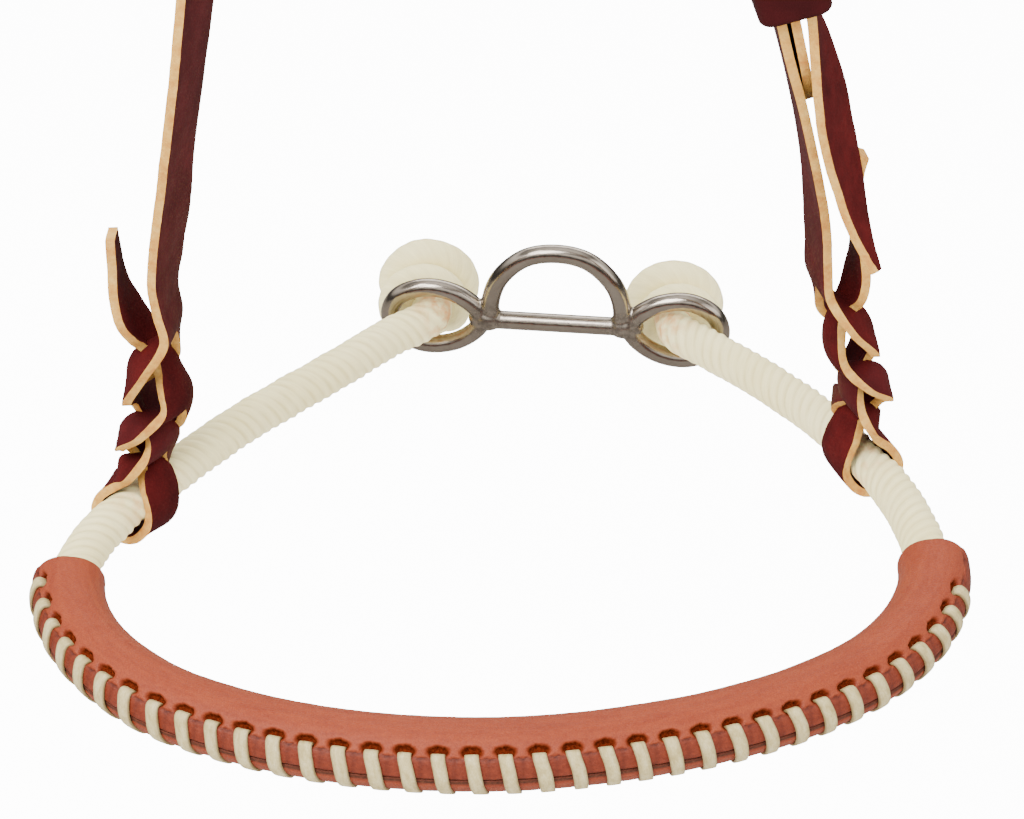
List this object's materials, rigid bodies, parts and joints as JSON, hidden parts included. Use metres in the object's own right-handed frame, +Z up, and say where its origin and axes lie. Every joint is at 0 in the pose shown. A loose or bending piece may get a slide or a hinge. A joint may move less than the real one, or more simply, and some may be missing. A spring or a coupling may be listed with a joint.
{
  "type": "bitless noseband headstall",
  "caption": "Rope noseband with a laced leather cover, a welded tie-down fitting at the jaw, and a tied strap headstall closed by one buckle.",
  "frame": {"origin": "underside of the crown strap where it lies over the poll: the point the headstall hangs from", "axes": "+Z up, so the poll face looks along -Z; -Y towards the nose, +Y towards the jaw; +X the near (left-hand) side of the horse, where the buckle is"},
  "size_m": [0.2059, 0.1959, 0.3944],
  "materials": {
    "rope": "waxed, satin",
    "cover": "waxed, satin",
    "lace": "rawhide, semi-matte",
    "latigo": "oiled, semi-gloss",
    "keeper": "oiled, semi-gloss",
    "nickel": "nickel plate, lightly worn"
  },
  "bodies": {
    "noseband": {"noseband_rope": "rope", "nose_cover": "cover", "cover_lacing": "lace", "crown_strap_knot": "latigo", "cheek_strap_knot": "latigo"},
    "headstall": {"crown_strap": "latigo", "cheek_strap": "latigo", "buckle_frame": "nickel", "screw_post": "nickel", "screw_cap": "nickel"},
    "ring": {"tie_down_ring": "nickel"},
    "tongue": {"buckle_tongue": "nickel"},
    "keeper": {"strap_keeper": "keeper"}
  },
  "joints": [
    {"name": "headstall_swing", "type": "hinge", "parent": "noseband", "child": "headstall", "pos_m": [0.00847, 0.00067, -0.33125], "axis": [0.9969, 0.0792, 0], "range_deg": [-30, 30]},
    {"name": "ring_swing", "type": "hinge", "parent": "noseband", "child": "ring", "pos_m": [0.02242, 0.06157, -0.37725], "axis": [0.9942, -0.108, 0], "range_deg": [-8, 8]},
    {"name": "tongue_pivot", "type": "hinge", "parent": "headstall", "child": "tongue", "pos_m": [0.05383, 0.00427, -0.20446], "axis": [-0.0792, 0.9969, 0], "range_deg": [0, 8]},
    {"name": "keeper_slide", "type": "slide", "parent": "headstall", "child": "keeper", "axis": [-0.2468, -0.0196, 0.9689], "range_m": [-0.004, 0.004]}
  ]
}
